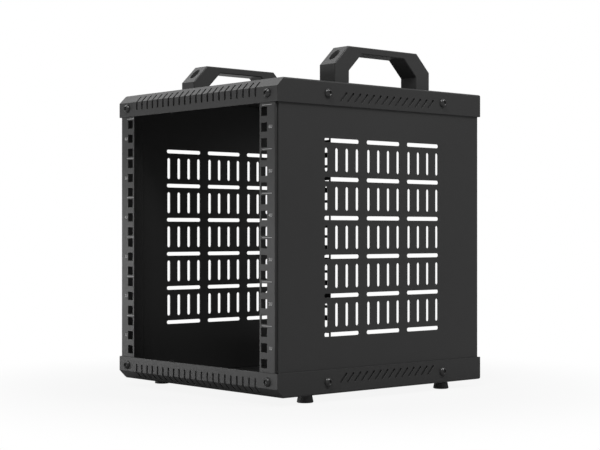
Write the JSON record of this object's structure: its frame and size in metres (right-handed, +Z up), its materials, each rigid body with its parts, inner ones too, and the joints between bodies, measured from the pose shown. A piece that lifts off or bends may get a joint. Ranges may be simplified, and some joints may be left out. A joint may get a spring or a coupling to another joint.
{
  "type": "desktop equipment rack",
  "caption": "Open desktop equipment rack of folded black steel: slotted covers, vented side panels, punched mounting rails, carrying handles and rubber feet.",
  "frame": {"origin": "on the ground under the middle of the overall box, between the feet", "axes": "+Z up, -Y out of the open front, +X to the right seen from the front"},
  "size_m": [0.2856, 0.3078, 0.3695],
  "materials": {
    "sheet": "matt powder coat",
    "handle": "matt",
    "foot": "matt",
    "screw": "blackened",
    "nut": "black zinc"
  },
  "bodies": {
    "root": {"top_cover": "sheet", "bottom_cover": "sheet", "left_panel": "sheet", "right_panel": "sheet", "front_left_rail": "sheet", "front_right_rail": "sheet", "rear_left_rail": "sheet", "rear_right_rail": "sheet", "left_handle": "handle", "right_handle": "handle", "front_left_foot": "foot", "front_right_foot": "foot", "rear_left_foot": "foot", "rear_right_foot": "foot", "front_screws": "screw", "rear_screws": "screw", "left_screws": "screw", "right_screws": "screw", "handle_screws": "screw", "foot_screws": "screw", "rail_nuts": "nut", "panel_nuts": "nut", "handle_nuts": "nut", "foot_nuts": "nut"}
  },
  "joints": []
}
